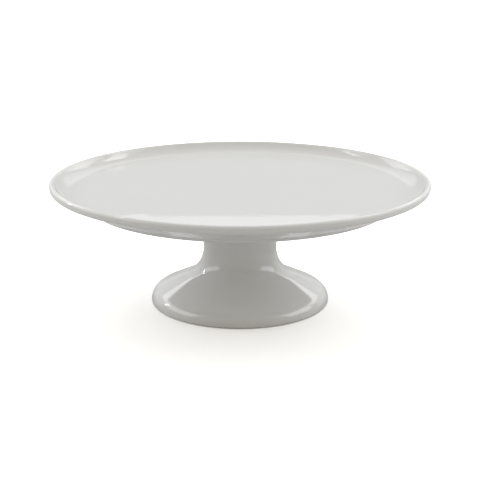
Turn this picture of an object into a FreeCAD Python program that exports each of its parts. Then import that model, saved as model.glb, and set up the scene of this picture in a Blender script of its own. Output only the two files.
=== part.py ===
import FreeCAD, Part
import math
import os

# Porcelain pedestal cake stand that comes apart: a round dished plate is held on a hollow
# flared pedestal by one M6 star-knob screw, turned from inside the open foot.
# Units are millimetres. The origin is the centre of the foot, on the table. +Z is up.
# Every piece is a body of revolution about Z, except the knob's lobes and the stud's flatted head.

# ---- Driving dimensions -------------------------------------------------------------------
PLATE_RADIUS = 150.0          # overall, at the outside of the lip
STAND_HEIGHT = 102.0          # table to lip crest
DISH_DEPTH = 8.2              # lip crest to plate floor
FLOOR_THICKNESS = 5.6         # plate floor, inside the foot ring
FLOOR_RADIUS = 132.5          # flat part of the floor

LIP_CREST_RADIUS = 2.4        # rounding of the lip's upper edge
LIP_LOWER_RADIUS = 3.0        # rounding of the lip's lower outside edge
LIP_FACE_HEIGHT = 6.4         # crest down to where the lip's lower rounding would end

RING_RADIUS = 120.9           # plate's foot ring, outside, at its lowest edge
RING_WIDTH = 4.4
RING_BOTTOM_Z = 82.3
RING_WALL_HEIGHT = 2.2        # short outer wall between the ring's edge and the underside
RING_WALL_LEAN = 1.6          # how far that wall leans outwards as it rises
RING_EDGE_RADIUS = 1.0
RING_OUTER_FILLET = 1.5       # glaze-softened corner where the ring's wall meets the underside
RING_INNER_FILLET = 3.0

BOSS_RADIUS = 21.2            # round boss under the floor's centre; it centres the plate
BOSS_BOTTOM_Z = 82.8
BOSS_EDGE_RADIUS = 1.0

STEM_RADIUS = 29.4            # straight upper part of the pedestal, outside
STEM_BOTTOM_Z = 44.4          # where the stem starts to flare
FLARE_RADIUS = 25.4           # concave flare from the stem to the foot
FOOT_RADIUS = 72.0            # widest point of the foot
FOOT_SHOULDER_RADIUS = 10.3   # convex rounding at the foot's rim
FOOT_RIM_Z = 1.5              # height of the widest point, and rounding of the lower edge
FOOT_INNER_EDGE_RADIUS = 1.0
PEDESTAL_WALL = 6.0
WEB_FILLET = 4.0              # inside the stem, under the web

GASKET_THICKNESS = 1.5
GASKET_EDGE_RADIUS = 0.4
GASKET_INSET = 0.8            # gasket edge to stem edge
GASKET_WIDTH = 5.4
SOCKET_RADIUS = 22.0          # recess in the pedestal's top that takes the boss
SOCKET_GAP = 1.3              # boss bottom to socket floor
SCREW_HOLE_RADIUS = 4.0       # hole through the pedestal's web
SEAT_EDGE_RADIUS = 1.0

THREAD_RADIUS = 3.0           # M6, pitch 1.0 mm
THREAD_CLEARANCE = 0.05       # radial, shank to insert
INSERT_RADIUS = 5.0
INSERT_LENGTH = 6.5
INSERT_GROOVES = 2            # grooves round the insert that key it into the cement
INSERT_GROOVE_DEPTH = 0.5
INSERT_GROOVE_WIDTH = 1.0
CEMENT_THICKNESS = 0.8
TIP_GAP = 0.5                 # screw tip to the top of the insert

WASHER_BORE_RADIUS = 3.2
WASHER_RADIUS = 9.0
RUBBER_WASHER_THICKNESS = 2.0
STEEL_WASHER_THICKNESS = 1.6
RUBBER_EDGE_RADIUS = 0.4
STEEL_EDGE_RADIUS = 0.2

KNOB_RADIUS = 10.0            # over the lobes
KNOB_LOBES = 6
KNOB_SCALLOP_RADIUS = 3.6     # hollows between the lobes
KNOB_SCALLOP_DEPTH = 1.6
KNOB_HEIGHT = 16.0
KNOB_LOBE_ROUNDING = 1.2      # upright edges, where the hollows meet the lobes
KNOB_EDGE_RADIUS = 0.7        # top and bottom edges
KNOB_COLLAR_RADIUS = 6.5
KNOB_COLLAR_HEIGHT = 3.0
STUD_DEPTH = 14.0             # how far the steel stud is moulded into the knob
STUD_HEAD_RADIUS = 4.4        # upset head that stops the stud turning or pulling out
STUD_HEAD_HEIGHT = 3.0
STUD_FLAT = 3.5               # axis to each of the two flats on the upset head
TIP_CHAMFER = 0.6

JOIN_GAP = 1e-6               # closer points than this are the same point

# ---- Levels worked out from the driving dimensions --------------------------------------------
FLOOR_Z = STAND_HEIGHT - DISH_DEPTH
UNDERSIDE_Z = FLOOR_Z - FLOOR_THICKNESS
SEAT_Z = UNDERSIDE_Z - GASKET_THICKNESS
SOCKET_Z = BOSS_BOTTOM_Z - SOCKET_GAP
WEB_Z = SOCKET_Z - PEDESTAL_WALL
INSERT_TOP_Z = BOSS_BOTTOM_Z + INSERT_LENGTH
CEMENT_TOP_Z = INSERT_TOP_Z + CEMENT_THICKNESS
SCREW_TIP_Z = INSERT_TOP_Z - TIP_GAP
STEEL_WASHER_Z = WEB_Z - RUBBER_WASHER_THICKNESS - STEEL_WASHER_THICKNESS
KNOB_TOP_Z = STEEL_WASHER_Z - KNOB_COLLAR_HEIGHT
KNOB_BOTTOM_Z = KNOB_TOP_Z - KNOB_HEIGHT

os.makedirs("parts", exist_ok=True)


# ---- Profiles in the XZ plane: points are (radius, height) ------------------------------------
def at(point):
    """A profile's point as a vector."""
    return FreeCAD.Vector(point[0], 0.0, point[1])


def polar(centre, radius, degrees):
    """The point at an angle on a circle, counted from the outward direction towards +Z."""
    turn = math.radians(degrees)
    return (centre[0] + radius * math.cos(turn), centre[1] + radius * math.sin(turn))


def corner(radius, height):
    """A sharp corner, for outline()."""
    return [(radius, height)]


def bend(centre, radius, start_deg, end_deg):
    """An arc for outline(), as its start, middle and end points."""
    middle_deg = (start_deg + end_deg) / 2.0
    return [polar(centre, radius, degrees) for degrees in (start_deg, middle_deg, end_deg)]


def tangent_deg(point, centre, radius, side):
    """Angle on a circle of the place where a line from an outside point touches it.

    There are two such places: side is +1 or -1.
    """
    run = point[0] - centre[0]
    rise = point[1] - centre[1]
    towards = math.atan2(rise, run)
    opening = math.acos(radius / math.hypot(run, rise))
    return math.degrees(towards + side * opening)


def crossing_tangent_deg(convex, convex_radius, concave, concave_radius):
    """Angle of the normal of the straight line that runs from a convex arc into a concave one."""
    run = concave[0] - convex[0]
    rise = concave[1] - convex[1]
    between = math.asin((convex_radius + concave_radius) / math.hypot(run, rise))
    return math.degrees(between - math.atan2(run, rise))


def outline(items):
    """A closed wire of corners and arcs in order, joined by straight lines where they don't meet."""
    edges = []
    for number, item in enumerate(items):
        last_end = at(items[number - 1][-1])
        start = at(item[0])
        if last_end.distanceToPoint(start) > JOIN_GAP:
            edges.append(Part.makeLine(last_end, start))
        if len(item) == 3:
            edges.append(Part.Arc(start, at(item[1]), at(item[2])).toShape())
    return Part.Wire(edges)


def turned(items):
    """The solid that a closed profile sweeps, turning about Z."""
    axis_foot = FreeCAD.Vector(0, 0, 0)
    axis = FreeCAD.Vector(0, 0, 1)
    return Part.Face(outline(items)).revolve(axis_foot, axis, 360.0)


def ring(inner, outer, bottom, top, edge_radius):
    """A flat ring with rounded edges."""
    low = bottom + edge_radius
    high = top - edge_radius
    outer_centre = outer - edge_radius
    inner_centre = inner + edge_radius
    return turned([
        bend((outer_centre, low), edge_radius, -90, 0),
        bend((outer_centre, high), edge_radius, 0, 90),
        bend((inner_centre, high), edge_radius, 90, 180),
        bend((inner_centre, low), edge_radius, 180, 270),
    ])


def disc(radius, bottom, top):
    """A plain cylinder on the axis."""
    return Part.makeCylinder(radius, top - bottom, FreeCAD.Vector(0, 0, bottom))


def rounded(solid, point, fillet_radius):
    """The solid with its circular edge through one profile point rounded."""
    edges = []
    for edge in solid.Edges:
        is_circle = isinstance(edge.Curve, Part.Circle)
        if not is_circle or abs(edge.Curve.Radius - point[0]) > JOIN_GAP:
            continue
        if abs(edge.Curve.Center.z - point[1]) < JOIN_GAP:
            edges.append(edge)
    return solid.makeFillet(fillet_radius, edges)


def save(name, shape):
    """Write one piece, after checking that it is one valid solid."""
    if len(shape.Solids) != 1 or not shape.Solids[0].isValid():
        raise RuntimeError(name + " is not one valid solid")
    shape.Solids[0].exportStep("parts/" + name + ".step")
    print(name, "volume %.1f mm3" % shape.Solids[0].Volume)


# ---- Porcelain --------------------------------------------------------------------------------
def plate():
    """Round plate: flat floor, cove rising to a rounded lip, foot ring and centre boss below."""
    crest = (PLATE_RADIUS - LIP_CREST_RADIUS, STAND_HEIGHT - LIP_CREST_RADIUS)
    lower_z = STAND_HEIGHT - LIP_FACE_HEIGHT + LIP_LOWER_RADIUS
    lower = (PLATE_RADIUS - LIP_LOWER_RADIUS, lower_z)

    # The cove is tangent to the floor and to the crest's rounding, which fixes its radius.
    run = crest[0] - FLOOR_RADIUS
    rise = crest[1] - FLOOR_Z
    cove = (run ** 2 + rise ** 2 - LIP_CREST_RADIUS ** 2) / (2.0 * (rise + LIP_CREST_RADIUS))
    cove_centre = (FLOOR_RADIUS, FLOOR_Z + cove)
    cove_end = math.degrees(math.atan2(crest[1] - cove_centre[1], run))

    # The underside is a straight cone from the lip's lower rounding to the foot ring's short wall.
    ring_top = (RING_RADIUS + RING_WALL_LEAN, RING_BOTTOM_Z + RING_WALL_HEIGHT)
    underside_start = tangent_deg(ring_top, lower, LIP_LOWER_RADIUS, 1)
    ring_edge = (RING_RADIUS - RING_EDGE_RADIUS, RING_BOTTOM_Z + RING_EDGE_RADIUS)
    wall_end = tangent_deg(ring_top, ring_edge, RING_EDGE_RADIUS, -1)

    ring_inside = RING_RADIUS - RING_WIDTH
    inner_edge = (ring_inside + RING_EDGE_RADIUS, RING_BOTTOM_Z + RING_EDGE_RADIUS)
    insert_hole = INSERT_RADIUS + CEMENT_THICKNESS
    body = turned([
        corner(0.0, FLOOR_Z),
        bend(cove_centre, cove, -90, cove_end),
        bend(crest, LIP_CREST_RADIUS, cove_end + 180, 0),
        bend(lower, LIP_LOWER_RADIUS, 0, underside_start),
        corner(*ring_top),
        bend(ring_edge, RING_EDGE_RADIUS, wall_end, -90),
        bend(inner_edge, RING_EDGE_RADIUS, -90, -180),
        corner(ring_inside, UNDERSIDE_Z),
        corner(BOSS_RADIUS, UNDERSIDE_Z),
        corner(BOSS_RADIUS, BOSS_BOTTOM_Z),
        corner(insert_hole, BOSS_BOTTOM_Z),
        corner(insert_hole, CEMENT_TOP_Z),
        corner(0.0, CEMENT_TOP_Z),
    ])
    body = rounded(body, ring_top, RING_OUTER_FILLET)
    body = rounded(body, (ring_inside, UNDERSIDE_Z), RING_INNER_FILLET)
    body = rounded(body, (BOSS_RADIUS, UNDERSIDE_Z), BOSS_EDGE_RADIUS)
    return rounded(body, (BOSS_RADIUS, BOSS_BOTTOM_Z), BOSS_EDGE_RADIUS)


def pedestal():
    """Hollow pedestal of even wall: straight stem, flared foot, and a web across its top."""
    # Outside: a straight slope runs from the foot's rounded shoulder into the concave flare.
    rim = (FOOT_RADIUS - FOOT_RIM_Z, FOOT_RIM_Z)
    shoulder = (FOOT_RADIUS - FOOT_SHOULDER_RADIUS, FOOT_RIM_Z)
    flare = (STEM_RADIUS + FLARE_RADIUS, STEM_BOTTOM_Z)
    normal = crossing_tangent_deg(shoulder, FOOT_SHOULDER_RADIUS, flare, FLARE_RADIUS)

    # Inside: the same centres, with the radii changed by the wall.
    inner_shoulder = FOOT_SHOULDER_RADIUS - PEDESTAL_WALL
    inner_flare = FLARE_RADIUS + PEDESTAL_WALL
    inner_stem = STEM_RADIUS - PEDESTAL_WALL
    toe_z = FOOT_INNER_EDGE_RADIUS
    toe = (shoulder[0] + inner_shoulder + toe_z, toe_z)
    body = turned([
        bend(rim, FOOT_RIM_Z, -90, 0),
        bend(shoulder, FOOT_SHOULDER_RADIUS, 0, normal),
        bend(flare, FLARE_RADIUS, normal - 180, -180),
        corner(STEM_RADIUS, SEAT_Z),
        corner(SOCKET_RADIUS, SEAT_Z),
        corner(SOCKET_RADIUS, SOCKET_Z),
        corner(SCREW_HOLE_RADIUS, SOCKET_Z),
        corner(SCREW_HOLE_RADIUS, WEB_Z),
        corner(inner_stem, WEB_Z),
        bend(flare, inner_flare, -180, normal - 180),
        bend(shoulder, inner_shoulder, normal, 0),
        bend(toe, toe_z, 180, 270),
    ])
    body = rounded(body, (STEM_RADIUS, SEAT_Z), SEAT_EDGE_RADIUS)
    body = rounded(body, (SOCKET_RADIUS, SEAT_Z), SEAT_EDGE_RADIUS)
    body = rounded(body, (SOCKET_RADIUS, SOCKET_Z), SEAT_EDGE_RADIUS)
    return rounded(body, (inner_stem, WEB_Z), WEB_FILLET)


# ---- Joint between pedestal and plate ---------------------------------------------------------
def seat_gasket():
    """Silicone ring between the pedestal's top and the plate."""
    outer = STEM_RADIUS - GASKET_INSET
    return ring(outer - GASKET_WIDTH, outer, SEAT_Z, UNDERSIDE_Z, GASKET_EDGE_RADIUS)


def insert_outside():
    """The insert's outside from bottom to top, with the grooves that key it into the cement."""
    groove = INSERT_RADIUS - INSERT_GROOVE_DEPTH
    corners = [corner(INSERT_RADIUS, BOSS_BOTTOM_Z)]
    for number in range(1, INSERT_GROOVES + 1):
        middle = BOSS_BOTTOM_Z + INSERT_LENGTH * number / (INSERT_GROOVES + 1)
        low = middle - INSERT_GROOVE_WIDTH / 2.0
        high = middle + INSERT_GROOVE_WIDTH / 2.0
        corners.append(corner(INSERT_RADIUS, low))
        corners.append(corner(groove, low))
        corners.append(corner(groove, high))
        corners.append(corner(INSERT_RADIUS, high))
    corners.append(corner(INSERT_RADIUS, INSERT_TOP_Z))
    return corners


def threaded_insert():
    """Brass insert in the boss, with a plain bore of the thread's radius."""
    bottom = [corner(THREAD_RADIUS, BOSS_BOTTOM_Z)]
    top = [corner(THREAD_RADIUS, INSERT_TOP_Z)]
    return turned(bottom + insert_outside() + top)


def insert_cement():
    """Cup of cement that bonds the insert into the boss and closes its top."""
    outer = INSERT_RADIUS + CEMENT_THICKNESS
    return turned(insert_outside() + [
        corner(0.0, INSERT_TOP_Z),
        corner(0.0, CEMENT_TOP_Z),
        corner(outer, CEMENT_TOP_Z),
        corner(outer, BOSS_BOTTOM_Z),
    ])


def rubber_washer():
    """Soft washer against the porcelain web."""
    bottom = WEB_Z - RUBBER_WASHER_THICKNESS
    return ring(WASHER_BORE_RADIUS, WASHER_RADIUS, bottom, WEB_Z, RUBBER_EDGE_RADIUS)


def steel_washer():
    """Washer that the knob's collar turns against."""
    top = STEEL_WASHER_Z + STEEL_WASHER_THICKNESS
    return ring(WASHER_BORE_RADIUS, WASHER_RADIUS, STEEL_WASHER_Z, top, STEEL_EDGE_RADIUS)


def knob_stud():
    """Steel stud with a chamfered tip, and a flatted head buried in the knob."""
    radius = THREAD_RADIUS - THREAD_CLEARANCE
    head_bottom = STEEL_WASHER_Z - STUD_DEPTH
    shank = turned([
        corner(0.0, head_bottom),
        corner(radius, head_bottom),
        corner(radius, SCREW_TIP_Z - TIP_CHAMFER),
        corner(radius - TIP_CHAMFER, SCREW_TIP_Z),
        corner(0.0, SCREW_TIP_Z),
    ])
    head = disc(STUD_HEAD_RADIUS, head_bottom, head_bottom + STUD_HEAD_HEIGHT)
    box_corner = FreeCAD.Vector(-STUD_FLAT, -STUD_HEAD_RADIUS, head_bottom)
    flats = Part.makeBox(2 * STUD_FLAT, 2 * STUD_HEAD_RADIUS, STUD_HEAD_HEIGHT, box_corner)
    return shank.fuse(head.common(flats)).removeSplitter()


def star_knob(stud):
    """Lobed knob, moulded round the stud, with a collar that bears on the steel washer."""
    body = disc(KNOB_RADIUS, KNOB_BOTTOM_Z, KNOB_TOP_Z)
    scallop_axis = KNOB_RADIUS - KNOB_SCALLOP_DEPTH + KNOB_SCALLOP_RADIUS
    scallop_foot = FreeCAD.Vector(scallop_axis, 0, KNOB_BOTTOM_Z)
    scallop = Part.makeCylinder(KNOB_SCALLOP_RADIUS, KNOB_HEIGHT, scallop_foot)
    for lobe in range(KNOB_LOBES):
        cutter = scallop.copy()
        cutter.rotate(FreeCAD.Vector(0, 0, 0), FreeCAD.Vector(0, 0, 1), 360.0 * lobe / KNOB_LOBES)
        body = body.cut(cutter)
    upright_edges = []
    for edge in body.Edges:
        if abs(edge.BoundBox.ZLength - KNOB_HEIGHT) < JOIN_GAP:
            upright_edges.append(edge)
    body = body.makeFillet(KNOB_LOBE_ROUNDING, upright_edges)
    flat_edges = [edge for edge in body.Edges if edge.BoundBox.ZLength < JOIN_GAP]
    body = body.makeFillet(KNOB_EDGE_RADIUS, flat_edges)
    collar = disc(KNOB_COLLAR_RADIUS, KNOB_TOP_Z - KNOB_EDGE_RADIUS, STEEL_WASHER_Z)
    return body.fuse(collar).removeSplitter().cut(stud)


save("plate", plate())
save("pedestal", pedestal())
save("seat_gasket", seat_gasket())
save("threaded_insert", threaded_insert())
save("insert_cement", insert_cement())
save("rubber_washer", rubber_washer())
save("steel_washer", steel_washer())
save("knob_stud", knob_stud())
save("star_knob", star_knob(knob_stud()))
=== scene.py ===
import math

import bpy
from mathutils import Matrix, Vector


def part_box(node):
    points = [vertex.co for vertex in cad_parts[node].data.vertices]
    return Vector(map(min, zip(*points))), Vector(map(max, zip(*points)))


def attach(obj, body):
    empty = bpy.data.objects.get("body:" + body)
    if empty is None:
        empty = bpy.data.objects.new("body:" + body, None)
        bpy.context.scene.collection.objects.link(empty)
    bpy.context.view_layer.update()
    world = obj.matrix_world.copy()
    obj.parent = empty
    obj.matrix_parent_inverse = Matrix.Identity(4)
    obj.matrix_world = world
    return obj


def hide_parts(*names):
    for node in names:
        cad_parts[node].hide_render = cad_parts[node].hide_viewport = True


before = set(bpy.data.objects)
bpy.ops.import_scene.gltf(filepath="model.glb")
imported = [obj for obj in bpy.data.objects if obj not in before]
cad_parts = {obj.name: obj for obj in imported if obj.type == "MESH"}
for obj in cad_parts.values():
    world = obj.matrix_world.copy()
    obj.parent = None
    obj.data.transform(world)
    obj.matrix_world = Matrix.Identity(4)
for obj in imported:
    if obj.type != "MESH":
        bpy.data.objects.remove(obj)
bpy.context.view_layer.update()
scene = bpy.context.scene

# All lengths below are in metres. MM turns millimetres into metres.
MM = 0.001


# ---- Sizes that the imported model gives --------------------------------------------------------
def reach(node):
    """The outer radius, lowest height and highest height of a round CAD node."""
    low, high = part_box(node)
    return min(high.x, high.y, -low.x, -low.y), low.z, high.z


PLATE_RADIUS, RING_BOTTOM, CREST_TOP = reach("plate")
FOOT_RADIUS, FOOT_BOTTOM, PEDESTAL_TOP = reach("pedestal")
_, _, UNDERSIDE = reach("seat_gasket")
CEMENT_RADIUS, BOSS_BOTTOM, CEMENT_TOP = reach("insert_cement")
INSERT_RADIUS, _, INSERT_TOP = reach("threaded_insert")
_, _, WEB = reach("rubber_washer")
_, _, STUD_TIP = reach("knob_stud")
_, WASHER_BOTTOM, _ = reach("steel_washer")

# ---- Sizes of the profiles' roundings and inner surfaces ---------------------------------------
DISH_DEPTH = 8.2 * MM                   # from the lip's crest to the plate's flat floor
FLOOR = CREST_TOP - DISH_DEPTH
FLOOR_RADIUS = 132.5 * MM
CREST_ROUNDING = 2.4 * MM               # the lip's upper edge
LOWER_ROUNDING = 3.0 * MM               # the lip's lower outside edge
LIP_FACE = 6.4 * MM                     # from the crest to the bottom of the lower rounding's circle
RING_RADIUS = 120.9 * MM                # the plate's foot ring, outside, at its lowest edge
RING_WIDTH = 4.4 * MM
RING_WALL_HEIGHT = 2.2 * MM             # the ring's short outer wall, up to the sloping underside
RING_WALL_LEAN = 1.6 * MM               # how far that wall leans outwards as it rises
RING_EDGE = 1.0 * MM
RING_OUTER_FILLET = 1.5 * MM
RING_INNER_FILLET = 3.0 * MM
BOSS_RADIUS = 21.2 * MM                 # under the middle of the floor
BOSS_EDGE = 1.0 * MM

STEM_RADIUS = 29.4 * MM
STEM_BOTTOM = 44.4 * MM                 # where the stem starts to flare
FLARE = 25.4 * MM                       # concave, from the stem to the foot
SHOULDER = 10.3 * MM                    # convex, round the foot
RIM_HEIGHT = 1.5 * MM                   # of the foot's widest point
TOE = 1.0 * MM                          # rounding inside the foot's contact ring
WALL = 6.0 * MM                         # the pedestal's wall and web
WEB_FILLET = 4.0 * MM                   # inside the stem, under the web
SOCKET_RADIUS = 22.0 * MM               # the recess that takes the plate's boss
SOCKET_FLOOR = WEB + WALL
SCREW_HOLE = 4.0 * MM
SEAT_EDGE = 1.0 * MM

BARE_RING = 0.15 * MM                   # height of the unglazed band on each foot ring
PLATE_GLAZE_IOR = 1.50
PEDESTAL_GLAZE_IOR = 1.80               # a richer glaze, which mirrors the room more strongly

THREAD_PITCH = 1.0 * MM
THREAD_CREST = 2.95 * MM                # the stud's radius over its thread
THREAD_ROOT = 2.40 * MM
BORE_CREST = 3.0 * MM                   # the insert's bore, over its thread
BORE_ROOT = 3.45 * MM
THREAD_FLAT = 0.1                       # width of its flat crest and root, against the pitch
THREAD_ROWS = 14                        # rows of points in each pitch of a thread
STUD_STEPS = 56                         # straight sides in each full turn of the stud
INSERT_STEPS = 72
STUD_IN_KNOB = 1.0 * MM                 # how far the thread starts inside the knob's collar
INSERT_GROOVES = 2
INSERT_GROOVE_DEPTH = 0.5 * MM
INSERT_GROOVE_WIDTH = 1.0 * MM

ROUND_STEPS = 288                       # straight sides in each full turn of the porcelain
BEND_STEP_DEG = 6.0                     # largest turn between two points of a tight rounding
WIDE_BEND_STEP_DEG = 3.0                # and of a wider one
WIDEST_BEND_STEP_DEG = 2.0              # and of the cove and the flare
CORNER_STEP_DEG = 10.0                  # and of a softened corner
SHARP_DEG = 40.0                        # edges that turn more than this are shaded sharp
SUPPORT = 0.35 * MM                     # straight runs get an extra point this near each end
SAME_POINT = 1e-7


# ---- Profiles: lists of (radius, height) -------------------------------------------------------
def polar(centre, radius, degrees):
    """The point at an angle on a circle, counted from the outward direction towards +Z."""
    turn = math.radians(degrees)
    return (centre[0] + radius * math.cos(turn), centre[1] + radius * math.sin(turn))


def bend(centre, radius, start_deg, end_deg, step_deg=BEND_STEP_DEG):
    """Points along an arc."""
    steps = max(3, math.ceil(abs(end_deg - start_deg) / step_deg))
    turn = (end_deg - start_deg) / steps
    return [polar(centre, radius, start_deg + turn * step) for step in range(steps + 1)]


def tangent_deg(point, centre, radius, side):
    """Angle on a circle of one of the two places where a line from an outside point touches it."""
    run = point[0] - centre[0]
    rise = point[1] - centre[1]
    opening = math.acos(radius / math.hypot(run, rise))
    return math.degrees(math.atan2(rise, run) + side * opening)


def crossing_tangent_deg(convex, convex_radius, concave, concave_radius):
    """Angle of the normal of the straight line that runs from a convex arc into a concave one."""
    run = concave[0] - convex[0]
    rise = concave[1] - convex[1]
    between = math.asin((convex_radius + concave_radius) / math.hypot(run, rise))
    return math.degrees(between - math.atan2(run, rise))


def softened(before, corner, after, radius):
    """Points that round a corner between two neighbours."""
    def unit(target):
        run = target[0] - corner[0]
        rise = target[1] - corner[1]
        length = math.hypot(run, rise)
        return run / length, rise / length

    back = unit(before)
    ahead = unit(after)
    half = math.acos(back[0] * ahead[0] + back[1] * ahead[1]) / 2.0
    trim = radius / math.tan(half)
    middle = (back[0] + ahead[0], back[1] + ahead[1])
    scale = radius / math.sin(half) / math.hypot(*middle)
    centre = (corner[0] + middle[0] * scale, corner[1] + middle[1] * scale)
    start = (corner[0] + back[0] * trim, corner[1] + back[1] * trim)
    end = (corner[0] + ahead[0] * trim, corner[1] + ahead[1] * trim)
    start_deg = math.degrees(math.atan2(start[1] - centre[1], start[0] - centre[0]))
    end_deg = math.degrees(math.atan2(end[1] - centre[1], end[0] - centre[0]))
    swing = (end_deg - start_deg + 180.0) % 360.0 - 180.0
    return bend(centre, radius, start_deg, start_deg + swing, step_deg=CORNER_STEP_DEG)


def supported(points):
    """The profile with extra points near the ends of each long straight run.

    They keep the smooth shading of a rounding from spreading over the flat beside it.
    """
    result = [points[0]]
    for start, end in zip(points, points[1:]):
        run = end[0] - start[0]
        rise = end[1] - start[1]
        length = math.hypot(run, rise)
        if length < SAME_POINT:
            continue
        if length > 5 * SUPPORT:
            for share in (SUPPORT / length, 1.0 - SUPPORT / length):
                result.append((start[0] + run * share, start[1] + rise * share))
        result.append(end)
    return result


def plate_profile():
    """The plate's section from the middle of its floor, over the lip and round to its blind hole."""
    crest = (PLATE_RADIUS - CREST_ROUNDING, CREST_TOP - CREST_ROUNDING)
    lower = (PLATE_RADIUS - LOWER_ROUNDING, CREST_TOP - LIP_FACE + LOWER_ROUNDING)
    run = crest[0] - FLOOR_RADIUS
    rise = crest[1] - FLOOR
    cove = (run ** 2 + rise ** 2 - CREST_ROUNDING ** 2) / (2.0 * (rise + CREST_ROUNDING))
    cove_centre = (FLOOR_RADIUS, FLOOR + cove)
    cove_end = math.degrees(math.atan2(crest[1] - cove_centre[1], run))

    ring_top = (RING_RADIUS + RING_WALL_LEAN, RING_BOTTOM + RING_WALL_HEIGHT)
    ring_edge = (RING_RADIUS - RING_EDGE, RING_BOTTOM + RING_EDGE)
    underside_start = tangent_deg(ring_top, lower, LOWER_ROUNDING, 1)
    wall_end = tangent_deg(ring_top, ring_edge, RING_EDGE, -1)
    lower_end = polar(lower, LOWER_ROUNDING, underside_start)
    wall_foot = polar(ring_edge, RING_EDGE, wall_end)

    ring_inside = RING_RADIUS - RING_WIDTH
    inner_edge = (ring_inside + RING_EDGE, RING_BOTTOM + RING_EDGE)
    inner_top = (ring_inside, UNDERSIDE)
    boss_root = (BOSS_RADIUS, UNDERSIDE)
    boss_edge = (BOSS_RADIUS, BOSS_BOTTOM)
    hole_mouth = (CEMENT_RADIUS, BOSS_BOTTOM)
    points = [(0.0, FLOOR)]
    points += bend(cove_centre, cove, -90, cove_end, step_deg=WIDEST_BEND_STEP_DEG)
    points += bend(crest, CREST_ROUNDING, cove_end + 180, 0)
    points += bend(lower, LOWER_ROUNDING, 0, underside_start)
    points += softened(lower_end, ring_top, wall_foot, RING_OUTER_FILLET)
    points += bend(ring_edge, RING_EDGE, wall_end, -90)
    points += bend(inner_edge, RING_EDGE, -90, -180)
    points += softened((ring_inside, RING_BOTTOM), inner_top, boss_root, RING_INNER_FILLET)
    points += softened(inner_top, boss_root, boss_edge, BOSS_EDGE)
    points += softened(boss_root, boss_edge, hole_mouth, BOSS_EDGE)
    points += [hole_mouth, (CEMENT_RADIUS, CEMENT_TOP), (0.0, CEMENT_TOP)]
    return supported(points)


def pedestal_profile():
    """The pedestal's section, closed, from its contact ring up the outside and down the inside."""
    rim = (FOOT_RADIUS - RIM_HEIGHT, RIM_HEIGHT)
    shoulder = (FOOT_RADIUS - SHOULDER, RIM_HEIGHT)
    flare = (STEM_RADIUS + FLARE, STEM_BOTTOM)
    normal = crossing_tangent_deg(shoulder, SHOULDER, flare, FLARE)
    inner_stem = STEM_RADIUS - WALL
    inner_shoulder = SHOULDER - WALL
    toe = (shoulder[0] + inner_shoulder + TOE, TOE)

    stem_top = (STEM_RADIUS, PEDESTAL_TOP)
    socket_top = (SOCKET_RADIUS, PEDESTAL_TOP)
    socket_root = (SOCKET_RADIUS, SOCKET_FLOOR)
    hole_top = (SCREW_HOLE, SOCKET_FLOOR)
    hole_bottom = (SCREW_HOLE, WEB)
    web_corner = (inner_stem, WEB)
    points = bend(rim, RIM_HEIGHT, -90, 0)
    points += bend(shoulder, SHOULDER, 0, normal, step_deg=WIDE_BEND_STEP_DEG)
    points += bend(flare, FLARE, normal - 180, -180, step_deg=WIDEST_BEND_STEP_DEG)
    points += softened((STEM_RADIUS, STEM_BOTTOM), stem_top, socket_top, SEAT_EDGE)
    points += softened(stem_top, socket_top, socket_root, SEAT_EDGE)
    points += softened(socket_top, socket_root, hole_top, SEAT_EDGE)
    points += [hole_top, hole_bottom]
    points += softened(hole_bottom, web_corner, (inner_stem, STEM_BOTTOM), WEB_FILLET)
    points += bend(flare, FLARE + WALL, -180, normal - 180, step_deg=WIDE_BEND_STEP_DEG)
    points += bend(shoulder, inner_shoulder, normal, 0)
    points += bend(toe, TOE, 180, 270)
    points.append(points[0])
    return supported(points)


# ---- Meshes ------------------------------------------------------------------------------------
def mesh_object(name, vertices, faces):
    """A smooth-shaded object from vertices and faces, with its sharp edges kept sharp."""
    mesh = bpy.data.meshes.new(name)
    mesh.from_pydata(vertices, [], faces)
    mesh.validate()
    mesh.update()
    piece = bpy.data.objects.new(name, mesh)
    scene.collection.objects.link(piece)
    mesh.shade_smooth()
    mesh.set_sharp_from_angle(angle=math.radians(SHARP_DEG))
    return piece


def turned(name, points, steps=ROUND_STEPS, cut=None):
    """The closed surface that a profile sweeps, turning about Z.

    A profile either starts and ends on the axis or ends where it starts, and it is put the right
    way round for its faces to look outwards. cut(radius, height, turn) may change the radius of a
    point as the profile turns.
    """
    closed = math.dist(points[0], points[-1]) < SAME_POINT
    rows = points[:-1] if closed else points
    beyond = rows[1:] + rows[:1]
    area = sum(a[0] * b[1] - b[0] * a[1] for a, b in zip(rows, beyond))
    if area > 0.0:
        rows = rows[::-1]
    vertices = []
    row_starts = []
    for radius, height in rows:
        row_starts.append(len(vertices))
        if radius < SAME_POINT:
            vertices.append((0.0, 0.0, height))
            continue
        for step in range(steps):
            turn = 2.0 * math.pi * step / steps
            here = cut(radius, height, turn) if cut else radius
            vertices.append((here * math.cos(turn), here * math.sin(turn), height))

    faces = []
    pairs = len(rows) if closed else len(rows) - 1
    for row in range(pairs):
        following = (row + 1) % len(rows)
        first = row_starts[row]
        second = row_starts[following]
        first_is_pole = rows[row][0] < SAME_POINT
        second_is_pole = rows[following][0] < SAME_POINT
        for step in range(steps):
            beside = (step + 1) % steps
            if first_is_pole:
                faces.append((first, second + step, second + beside))
            elif second_is_pole:
                faces.append((first + step, second, first + beside))
            else:
                faces.append((first + step, second + step, second + beside, first + beside))
    return mesh_object(name, vertices, faces)


def thread_depth(height, turn):
    """How deep the thread's groove is, from 0 on its crest to 1 at its root."""
    phase = (height / THREAD_PITCH - turn / (2.0 * math.pi)) % 1.0
    from_crest = abs(2.0 * phase - 1.0)
    return min(1.0, max(0.0, (from_crest - THREAD_FLAT) / (1.0 - 2.0 * THREAD_FLAT)))


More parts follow.
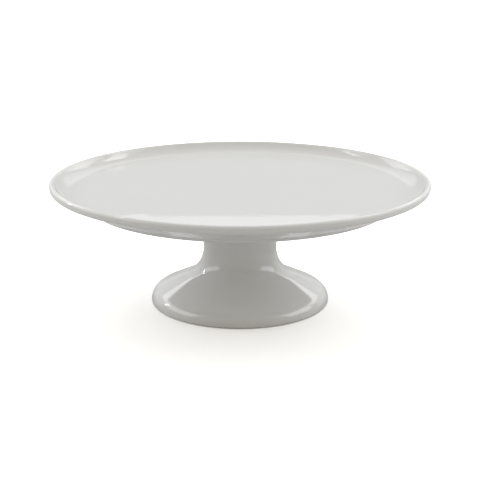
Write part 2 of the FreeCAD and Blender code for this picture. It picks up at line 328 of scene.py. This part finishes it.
def threaded_stud(name):
    """M6 stud from just inside the knob to its chamfered tip, with a real helical thread."""
    start = WASHER_BOTTOM - STUD_IN_KNOB
    rows = math.ceil((STUD_TIP - start) / THREAD_PITCH * THREAD_ROWS)
    points = [(0.0, start)]
    points += [(THREAD_CREST, start + (STUD_TIP - start) * row / rows) for row in range(rows + 1)]
    points.append((0.0, STUD_TIP))

    def cut_thread(radius, height, turn):
        grooved = radius - (THREAD_CREST - THREAD_ROOT) * thread_depth(height, turn)
        chamfered = THREAD_ROOT + STUD_TIP - height
        return min(grooved, chamfered)

    return turned(name, points, STUD_STEPS, cut_thread)


def threaded_insert(name):
    """Brass insert with a real helical thread in its bore and keying grooves round its outside."""
    length = INSERT_TOP - BOSS_BOTTOM
    groove_root = INSERT_RADIUS - INSERT_GROOVE_DEPTH
    points = [(INSERT_RADIUS, BOSS_BOTTOM)]
    for number in range(INSERT_GROOVES):
        middle = BOSS_BOTTOM + length * (number + 1) / (INSERT_GROOVES + 1)
        low = middle - INSERT_GROOVE_WIDTH / 2.0
        high = middle + INSERT_GROOVE_WIDTH / 2.0
        points += [(INSERT_RADIUS, low), (groove_root, low), (groove_root, high), (INSERT_RADIUS, high)]
    points.append((INSERT_RADIUS, INSERT_TOP))
    rows = math.ceil(length / THREAD_PITCH * THREAD_ROWS)
    points += [(BORE_CREST, INSERT_TOP - length * row / rows) for row in range(rows + 1)]
    points.append(points[0])

    def cut_thread(radius, height, turn):
        if radius > BORE_CREST + SAME_POINT:
            return radius
        return radius + (BORE_ROOT - BORE_CREST) * thread_depth(height, turn)

    return turned(name, points, INSERT_STEPS, cut_thread)


# ---- Material nodes ----------------------------------------------------------------------------
# A Mix node has separate sockets for numbers, vectors and colours: these are the ones in use.
MIX_COLOUR_INPUTS = (0, 6, 7)
MIX_COLOUR_OUTPUT = 2
MIX_VECTOR_INPUTS = (0, 4, 5)
MIX_VECTOR_OUTPUT = 1


def grey(level):
    """A neutral colour."""
    return (level, level, level, 1.0)


class Surface:
    """A material's node tree, with short calls that add and join nodes."""

    def __init__(self, name):
        self.material = bpy.data.materials.new(name)
        self.material.use_nodes = True
        self.tree = self.material.node_tree
        self.shader = self.tree.nodes["Principled BSDF"]
        self.place = self.add("ShaderNodeTexCoord").outputs["Object"]

    def add(self, kind, **settings):
        node = self.tree.nodes.new(kind)
        for key, value in settings.items():
            setattr(node, key, value)
        return node

    def feed(self, socket, value):
        """Joins an output to an input, or sets the input's value."""
        if isinstance(value, bpy.types.NodeSocket):
            self.tree.links.new(value, socket)
        else:
            socket.default_value = value

    def set(self, **inputs):
        """Sets the shader's inputs. An underscore in a name stands for a space."""
        for key, value in inputs.items():
            self.feed(self.shader.inputs[key.replace("_", " ")], value)

    def maths(self, operation, *values):
        node = self.add("ShaderNodeMath", operation=operation)
        for socket, value in zip(node.inputs, values):
            self.feed(socket, value)
        return node.outputs[0]

    def noise(self, scale, detail=2.0, roughness=0.5, vector=None):
        """Noise from 0 to 1, with features about 1 / scale metres across."""
        node = self.add("ShaderNodeTexNoise")
        self.feed(node.inputs["Vector"], vector if vector is not None else self.place)
        node.inputs["Scale"].default_value = scale
        node.inputs["Detail"].default_value = detail
        node.inputs["Roughness"].default_value = roughness
        return node.outputs["Fac"]

    def ramp(self, value, low, high, to_low=0.0, to_high=1.0):
        """A smooth change from to_low to to_high as value goes from low to high."""
        node = self.add("ShaderNodeMapRange", interpolation_type="SMOOTHSTEP")
        self.feed(node.inputs["Value"], value)
        limits = {"From Min": low, "From Max": high, "To Min": to_low, "To Max": to_high}
        for key, number in limits.items():
            node.inputs[key].default_value = number
        return node.outputs["Result"]

    def blend(self, share, first, second):
        """The colour that lies a share of the way from the first to the second."""
        node = self.add("ShaderNodeMix", data_type="RGBA")
        for index, value in zip(MIX_COLOUR_INPUTS, (share, first, second)):
            self.feed(node.inputs[index], value)
        return node.outputs[MIX_COLOUR_OUTPUT]

    def blend_normals(self, share, first, second):
        """The direction that lies a share of the way from the first to the second."""
        node = self.add("ShaderNodeMix", data_type="VECTOR")
        for index, value in zip(MIX_VECTOR_INPUTS, (share, first, second)):
            self.feed(node.inputs[index], value)
        return node.outputs[MIX_VECTOR_OUTPUT]

    def bump(self, height, distance, normal=None):
        """A bump whose height of 1 stands distance metres proud."""
        node = self.add("ShaderNodeBump")
        self.feed(node.inputs["Height"], height)
        node.inputs["Distance"].default_value = distance
        if normal is not None:
            self.feed(node.inputs["Normal"], normal)
        return node.outputs["Normal"]

    def radius_and_height(self):
        """Distance from the stand's axis, and height above the table."""
        parts = self.add("ShaderNodeSeparateXYZ")
        self.feed(parts.inputs[0], self.place)
        flat = self.add("ShaderNodeCombineXYZ")
        self.feed(flat.inputs[0], parts.outputs[0])
        self.feed(flat.inputs[1], parts.outputs[1])
        length = self.add("ShaderNodeVectorMath", operation="LENGTH")
        self.feed(length.inputs[0], flat.outputs[0])
        return length.outputs["Value"], parts.outputs[2]


def glazed_porcelain(name, bare_height, glaze_ior):
    """White porcelain body under a clear gloss glaze, bare below bare_height on its foot ring."""
    surface = Surface(name)
    _, height = surface.radius_and_height()

    # The glaze stops in a slightly wavy line just above the ring that stood on the kiln shelf.
    wave_height = 0.25 * MM
    wave = surface.noise(90.0, 3.0)
    edge = surface.maths("MULTIPLY_ADD", wave, wave_height, bare_height - 0.12 * MM)
    above = surface.maths("SUBTRACT", height, edge)
    glaze = surface.ramp(above, -0.05 * MM, 0.10 * MM)

    # The body's tone drifts a little over the piece, and has a few faint iron specks.
    greyer = (0.790, 0.792, 0.782, 1.0)
    cleaner = (0.812, 0.812, 0.800, 1.0)
    iron = (0.42, 0.38, 0.32, 1.0)
    tone = surface.blend(surface.noise(14.0, 3.0), greyer, cleaner)
    specks = surface.ramp(surface.noise(620.0, 1.0), 0.80, 0.86, 0.0, 0.25)
    tone = surface.blend(specks, tone, iron)

    # Where it is bare, the body is matt, gritty and a little darker.
    pores = (0.60, 0.585, 0.55, 1.0)
    fired_clay = (0.72, 0.71, 0.68, 1.0)
    grain = surface.noise(2600.0, 4.0, 0.7)
    bare = surface.blend(grain, pores, fired_clay)
    surface.set(Base_Color=surface.blend(glaze, bare, tone))

    # Glaze: level at arm's length, with a very shallow ripple and rare pinholes close up.
    ripple = surface.noise(55.0, 2.0)
    pinholes = surface.ramp(surface.noise(950.0, 0.0), 0.82, 0.88, 0.0, -1.0)
    level = surface.bump(ripple, 0.035 * MM)
    level = surface.bump(pinholes, 0.03 * MM, normal=level)
    rough = surface.bump(grain, 0.05 * MM)
    smear = surface.noise(24.0, 4.0, 0.6)
    surface.set(Roughness=surface.ramp(glaze, 0.0, 1.0, 0.75, 0.30))
    surface.set(IOR=1.5, Specular_IOR_Level=0.12)
    surface.set(Coat_Weight=glaze, Coat_IOR=glaze_ior)
    surface.set(Coat_Roughness=surface.ramp(smear, 0.3, 0.75, 0.012, 0.035))
    surface.set(Subsurface_Weight=0.12, Subsurface_Scale=1.6 * MM)
    surface.shader.inputs["Subsurface Radius"].default_value = (1.0, 0.95, 0.85)
    surface.set(Normal=surface.blend_normals(glaze, rough, level))
    surface.set(Coat_Normal=level)
    return surface.material


DARK_STEEL = (0.50, 0.50, 0.49, 1.0)
LIGHT_STEEL = (0.60, 0.60, 0.59, 1.0)
DARK_BRASS = (0.60, 0.42, 0.16, 1.0)
LIGHT_BRASS = (0.74, 0.56, 0.27, 1.0)


def turned_metal(name, dark, light, roughness, line_scale):
    """Metal with fine concentric turning marks and lighter, rougher patches."""
    roughening = 0.16
    surface = Surface(name)
    radius, height = surface.radius_and_height()
    across = surface.add("ShaderNodeCombineXYZ")
    surface.feed(across.inputs[0], radius)
    surface.feed(across.inputs[1], height)
    lines = surface.noise(line_scale, 3.0, 0.6, vector=across.outputs[0])
    patches = surface.noise(320.0, 3.0, 0.6)
    surface.set(Metallic=1.0, Base_Color=surface.blend(patches, dark, light))
    surface.set(Roughness=surface.ramp(patches, 0.25, 0.8, roughness, roughness + roughening))
    surface.set(Normal=surface.bump(lines, 0.012 * MM), Anisotropic=0.45)
    return surface.material


def silicone(name):
    """Milky silicone: soft, a little see-through, with a satin moulded skin."""
    surface = Surface(name)
    cloud = surface.noise(160.0, 3.0)
    skin = surface.noise(2600.0, 2.0)
    clearer = (0.72, 0.72, 0.70, 1.0)
    milkier = (0.82, 0.82, 0.80, 1.0)
    surface.set(Base_Color=surface.blend(cloud, clearer, milkier))
    surface.set(Roughness=surface.ramp(cloud, 0.2, 0.8, 0.38, 0.52), IOR=1.41)
    surface.set(Subsurface_Weight=0.5, Subsurface_Scale=2.5 * MM)
    surface.set(Normal=surface.bump(skin, 0.015 * MM))
    return surface.material


def black_rubber(name):
    """Dull black rubber with a fine grain and a trace of dust."""
    surface = Surface(name)
    dust = surface.ramp(surface.noise(700.0, 4.0, 0.7), 0.55, 0.80)
    grain = surface.noise(3800.0, 2.0)
    clean = (0.022, 0.022, 0.024, 1.0)
    dusty = (0.075, 0.073, 0.070, 1.0)
    surface.set(Base_Color=surface.blend(dust, clean, dusty))
    surface.set(Roughness=surface.ramp(dust, 0.0, 1.0, 0.58, 0.82), Specular_IOR_Level=0.4)
    surface.set(Normal=surface.bump(grain, 0.02 * MM))
    return surface.material


def cement(name):
    """Cured mineral-filled cement: matte, grey-white and gritty."""
    surface = Surface(name)
    grit = surface.noise(2100.0, 5.0, 0.75)
    stain = surface.noise(260.0, 2.0)
    sand = (0.40, 0.39, 0.36, 1.0)
    paste = (0.62, 0.61, 0.57, 1.0)
    stained = (0.50, 0.48, 0.43, 1.0)
    surface.set(Base_Color=surface.blend(stain, surface.blend(grit, sand, paste), stained))
    surface.set(Roughness=surface.ramp(grit, 0.2, 0.8, 0.95, 0.75), Specular_IOR_Level=0.3)
    surface.set(Normal=surface.bump(grit, 0.08 * MM))
    return surface.material


def moulded_plastic(name):
    """Black moulded nylon with a fine spark texture, polished a little where fingers turn it."""
    surface = Surface(name)
    radius, _ = surface.radius_and_height()
    spark = surface.noise(4200.0, 3.0, 0.7)
    wear_from = 8.2 * MM
    wear_full = 9.9 * MM
    worn = surface.ramp(radius, wear_from, wear_full)
    wear = surface.maths("MULTIPLY", worn, surface.noise(380.0, 3.0))
    fresh = (0.020, 0.020, 0.022, 1.0)
    polished = (0.055, 0.055, 0.058, 1.0)
    surface.set(Base_Color=surface.blend(wear, fresh, polished))
    surface.set(Roughness=surface.ramp(wear, 0.0, 0.7, 0.62, 0.34), IOR=1.5)
    surface.set(Normal=surface.bump(spark, 0.03 * MM))
    return surface.material


def white_table(name):
    """Smooth white surface under the stand.

    Looked at directly it is over-exposed to a clean white, as a product sweep is, and more so with
    distance from the stand. The light that it bounces is that of a pale matt board.
    """
    surface = Surface(name)
    surface.tree.nodes.remove(surface.shader)
    lightest = TABLE_BOUNCE + TABLE_MOTTLE
    mottled = surface.blend(surface.noise(6.0, 3.0), grey(TABLE_BOUNCE), grey(lightest))
    board = surface.add("ShaderNodeBsdfDiffuse")
    surface.feed(board.inputs["Color"], mottled)
    distance, _ = surface.radius_and_height()
    share = surface.ramp(distance, BURNT_FROM, BURNT_WHOLLY)
    burnt = surface.add("ShaderNodeBsdfDiffuse")
    surface.feed(burnt.inputs["Color"], surface.blend(share, grey(TABLE_EXPOSED), grey(TABLE_BURNT)))
    seen = surface.add("ShaderNodeLightPath").outputs["Is Camera Ray"]
    choice = surface.add("ShaderNodeMixShader")
    for socket, value in zip(choice.inputs, (seen, board.outputs[0], burnt.outputs[0])):
        surface.feed(socket, value)
    surface.feed(surface.tree.nodes["Material Output"].inputs["Surface"], choice.outputs[0])
    return surface.material


# ---- Stage: table, camera and light --------------------------------------------------------------
TABLE_SIZE = 12.0
TABLE_BOUNCE = 0.62                     # share of the light that the table bounces
TABLE_MOTTLE = 0.03                     # how much that share varies from place to place
TABLE_EXPOSED = 1.60                    # share that the camera sees, near the stand
TABLE_BURNT = 2.30                      # and far from it
BURNT_FROM = 0.20                       # radius where the table starts to burn out further
BURNT_WHOLLY = 0.90                     # and where it is burnt out most
CAMERA_DISTANCE = 0.8536                # in front of the stand's axis
CAMERA_HEIGHT = 0.2960
CAMERA_PITCH_DEG = 16.1
CAMERA_LENS_MM = 82.5
CAMERA_NEAREST = 0.02
SENSOR_MM = 36.0
BACKDROP = 1.05                         # what the camera sees beyond the table
ROOM_FRONT = (0.425, 0.398, 0.350, 1.0)  # where the photographer stands
ROOM_BACK = (0.620, 0.628, 0.628, 1.0)
ROOM_TOP_SHARE = 0.35                   # how much the room brightens upwards, against backwards
ROOM_DIMMEST = -0.8                     # backwards share plus upwards share where it is dimmest
ROOM_BRIGHTEST = 0.9                    # and where it is brightest
BOX_DISTANCE = 1.2                      # from every soft box to the middle of the stand
AIM_HEIGHT = 0.05                       # the height that they face
LEFT = -1.0
RIGHT = 1.0


def add_table():
    """The surface that the stand rests on, which is no piece of it."""
    bpy.ops.mesh.primitive_plane_add(size=TABLE_SIZE, location=(0.0, 0.0, FOOT_BOTTOM))
    table = bpy.context.object
    table.name = "table"
    table.data.materials.append(white_table("table_white"))


def add_camera():
    """A long lens in front of the stand, looking a little down on it."""
    data = bpy.data.cameras.new("camera")
    data.lens = CAMERA_LENS_MM
    data.sensor_width = SENSOR_MM
    data.clip_start = CAMERA_NEAREST
    camera = bpy.data.objects.new("camera", data)
    camera.location = (0.0, -CAMERA_DISTANCE, CAMERA_HEIGHT)
    camera.rotation_euler = (math.radians(90.0 - CAMERA_PITCH_DEG), 0.0, 0.0)
    scene.collection.objects.link(camera)
    scene.camera = camera


def add_softbox(name, hand, bearings, elevations, radiance):
    """A flat rectangular light that faces the stand.

    Seen from the middle of the stand, it covers a range of elevations and a range of bearings, in
    degrees from straight behind the stand towards the given hand.
    """
    bearing = hand * math.radians(sum(bearings) / 2.0)
    elevation = math.radians(sum(elevations) / 2.0)
    half_width = math.radians((bearings[1] - bearings[0]) / 2.0)
    half_height = math.radians((elevations[1] - elevations[0]) / 2.0)
    across = BOX_DISTANCE * math.cos(elevation)
    data = bpy.data.lights.new(name, "AREA")
    data.shape = "RECTANGLE"
    data.size = 2.0 * across * math.tan(half_width)
    data.size_y = 2.0 * BOX_DISTANCE * math.tan(half_height)
    data.energy = 4.0 * radiance * data.size * data.size_y
    lamp = bpy.data.objects.new(name, data)
    height = AIM_HEIGHT + BOX_DISTANCE * math.sin(elevation)
    lamp.location = (across * math.sin(bearing), across * math.cos(bearing), height)
    lamp.rotation_euler = (math.radians(90.0) - elevation, 0.0, math.radians(180.0) - bearing)
    lamp.visible_camera = False
    scene.collection.objects.link(lamp)


def add_world():
    """A pale room, dim where the photographer stands, with a white backdrop for the camera."""
    world = bpy.data.worlds.new("studio")
    scene.world = world
    world.use_nodes = True
    nodes = world.node_tree.nodes
    links = world.node_tree.links
    nodes.clear()
    parts = nodes.new("ShaderNodeSeparateXYZ")
    links.new(nodes.new("ShaderNodeTexCoord").outputs["Generated"], parts.inputs[0])
    lean = nodes.new("ShaderNodeMath")
    lean.operation = "MULTIPLY_ADD"
    lean.inputs[1].default_value = ROOM_TOP_SHARE
    links.new(parts.outputs[2], lean.inputs[0])
    links.new(parts.outputs[1], lean.inputs[2])
    depth = nodes.new("ShaderNodeMapRange")
    depth.interpolation_type = "SMOOTHSTEP"
    depth.inputs["From Min"].default_value = ROOM_DIMMEST
    depth.inputs["From Max"].default_value = ROOM_BRIGHTEST
    links.new(lean.outputs[0], depth.inputs["Value"])
    tone = nodes.new("ShaderNodeMix")
    tone.data_type = "RGBA"
    share, front, back = (tone.inputs[index] for index in MIX_COLOUR_INPUTS)
    front.default_value = ROOM_FRONT
    back.default_value = ROOM_BACK
    links.new(depth.outputs["Result"], share)
    room = nodes.new("ShaderNodeBackground")
    links.new(tone.outputs[MIX_COLOUR_OUTPUT], room.inputs["Color"])
    backdrop = nodes.new("ShaderNodeBackground")
    backdrop.inputs["Color"].default_value = grey(BACKDROP)
    choice = nodes.new("ShaderNodeMixShader")
    seen = nodes.new("ShaderNodeLightPath").outputs["Is Camera Ray"]
    for socket, value in zip(choice.inputs, (seen, room.outputs[0], backdrop.outputs[0])):
        links.new(value, socket)
    output = nodes.new("ShaderNodeOutputWorld")
    links.new(choice.outputs[0], output.inputs["Surface"])


# ---- The object --------------------------------------------------------------------------------
def replace(node, piece, body, material):
    """A piece that stands for a CAD node."""
    piece.data.materials.append(material)
    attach(piece, body)
    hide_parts(node)


def refinish(node, material):
    """A better material on a CAD node that stays."""
    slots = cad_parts[node].material_slots
    for index in range(len(slots)):
        slots[index].material = material


add_table()
add_camera()
add_world()

# Each side has one big box with two dimmer ones under it, and a flank box further round. The strip
# and the high boxes are smaller and brighter. From the camera, the rear panel mirrors in the near
# part of the plate's floor.
for side, hand in (("left", LEFT), ("right", RIGHT)):
    add_softbox(side + "_key", hand, (22.0, 62.0), (24.0, 38.0), 1.25)
    add_softbox(side + "_middle", hand, (22.0, 62.0), (14.0, 24.0), 0.4)
    add_softbox(side + "_low", hand, (14.0, 66.0), (0.5, 14.0), 0.25)
add_softbox("left_flank", LEFT, (66.0, 118.0), (16.0, 52.0), 0.9)
add_softbox("right_flank", RIGHT, (66.0, 118.0), (16.0, 52.0), 1.2)
add_softbox("left_strip", LEFT, (62.0, 66.0), (17.0, 28.0), 8.0)
add_softbox("left_high", LEFT, (48.0, 78.0), (51.0, 54.0), 5.0)
add_softbox("right_high", RIGHT, (28.0, 66.0), (45.0, 53.5), 2.4)
add_softbox("rear_panel", RIGHT, (-16.0, 16.0), (17.9, 38.0), 0.33)

plate_glaze = glazed_porcelain("plate_glaze", RING_BOTTOM + BARE_RING, PLATE_GLAZE_IOR)
pedestal_glaze = glazed_porcelain("pedestal_glaze", FOOT_BOTTOM + BARE_RING, PEDESTAL_GLAZE_IOR)
steel = turned_metal("stainless", DARK_STEEL, LIGHT_STEEL, roughness=0.24, line_scale=5200.0)
brass = turned_metal("turned_brass", DARK_BRASS, LIGHT_BRASS, roughness=0.22, line_scale=4200.0)
plate = turned("plate_porcelain", plate_profile())
pedestal = turned("pedestal_porcelain", pedestal_profile())
stud = threaded_stud("stud_threaded")
insert = threaded_insert("insert_threaded")
replace("plate", plate, "plate", plate_glaze)
replace("pedestal", pedestal, "pedestal", pedestal_glaze)
replace("knob_stud", stud, "thumb_screw", steel)
replace("threaded_insert", insert, "plate", brass)
refinish("seat_gasket", silicone("milky_silicone"))
refinish("insert_cement", cement("set_cement"))
refinish("rubber_washer", black_rubber("washer_rubber"))
refinish("steel_washer", steel)
refinish("star_knob", moulded_plastic("knob_nylon"))

scene.view_settings.view_transform = "Standard"
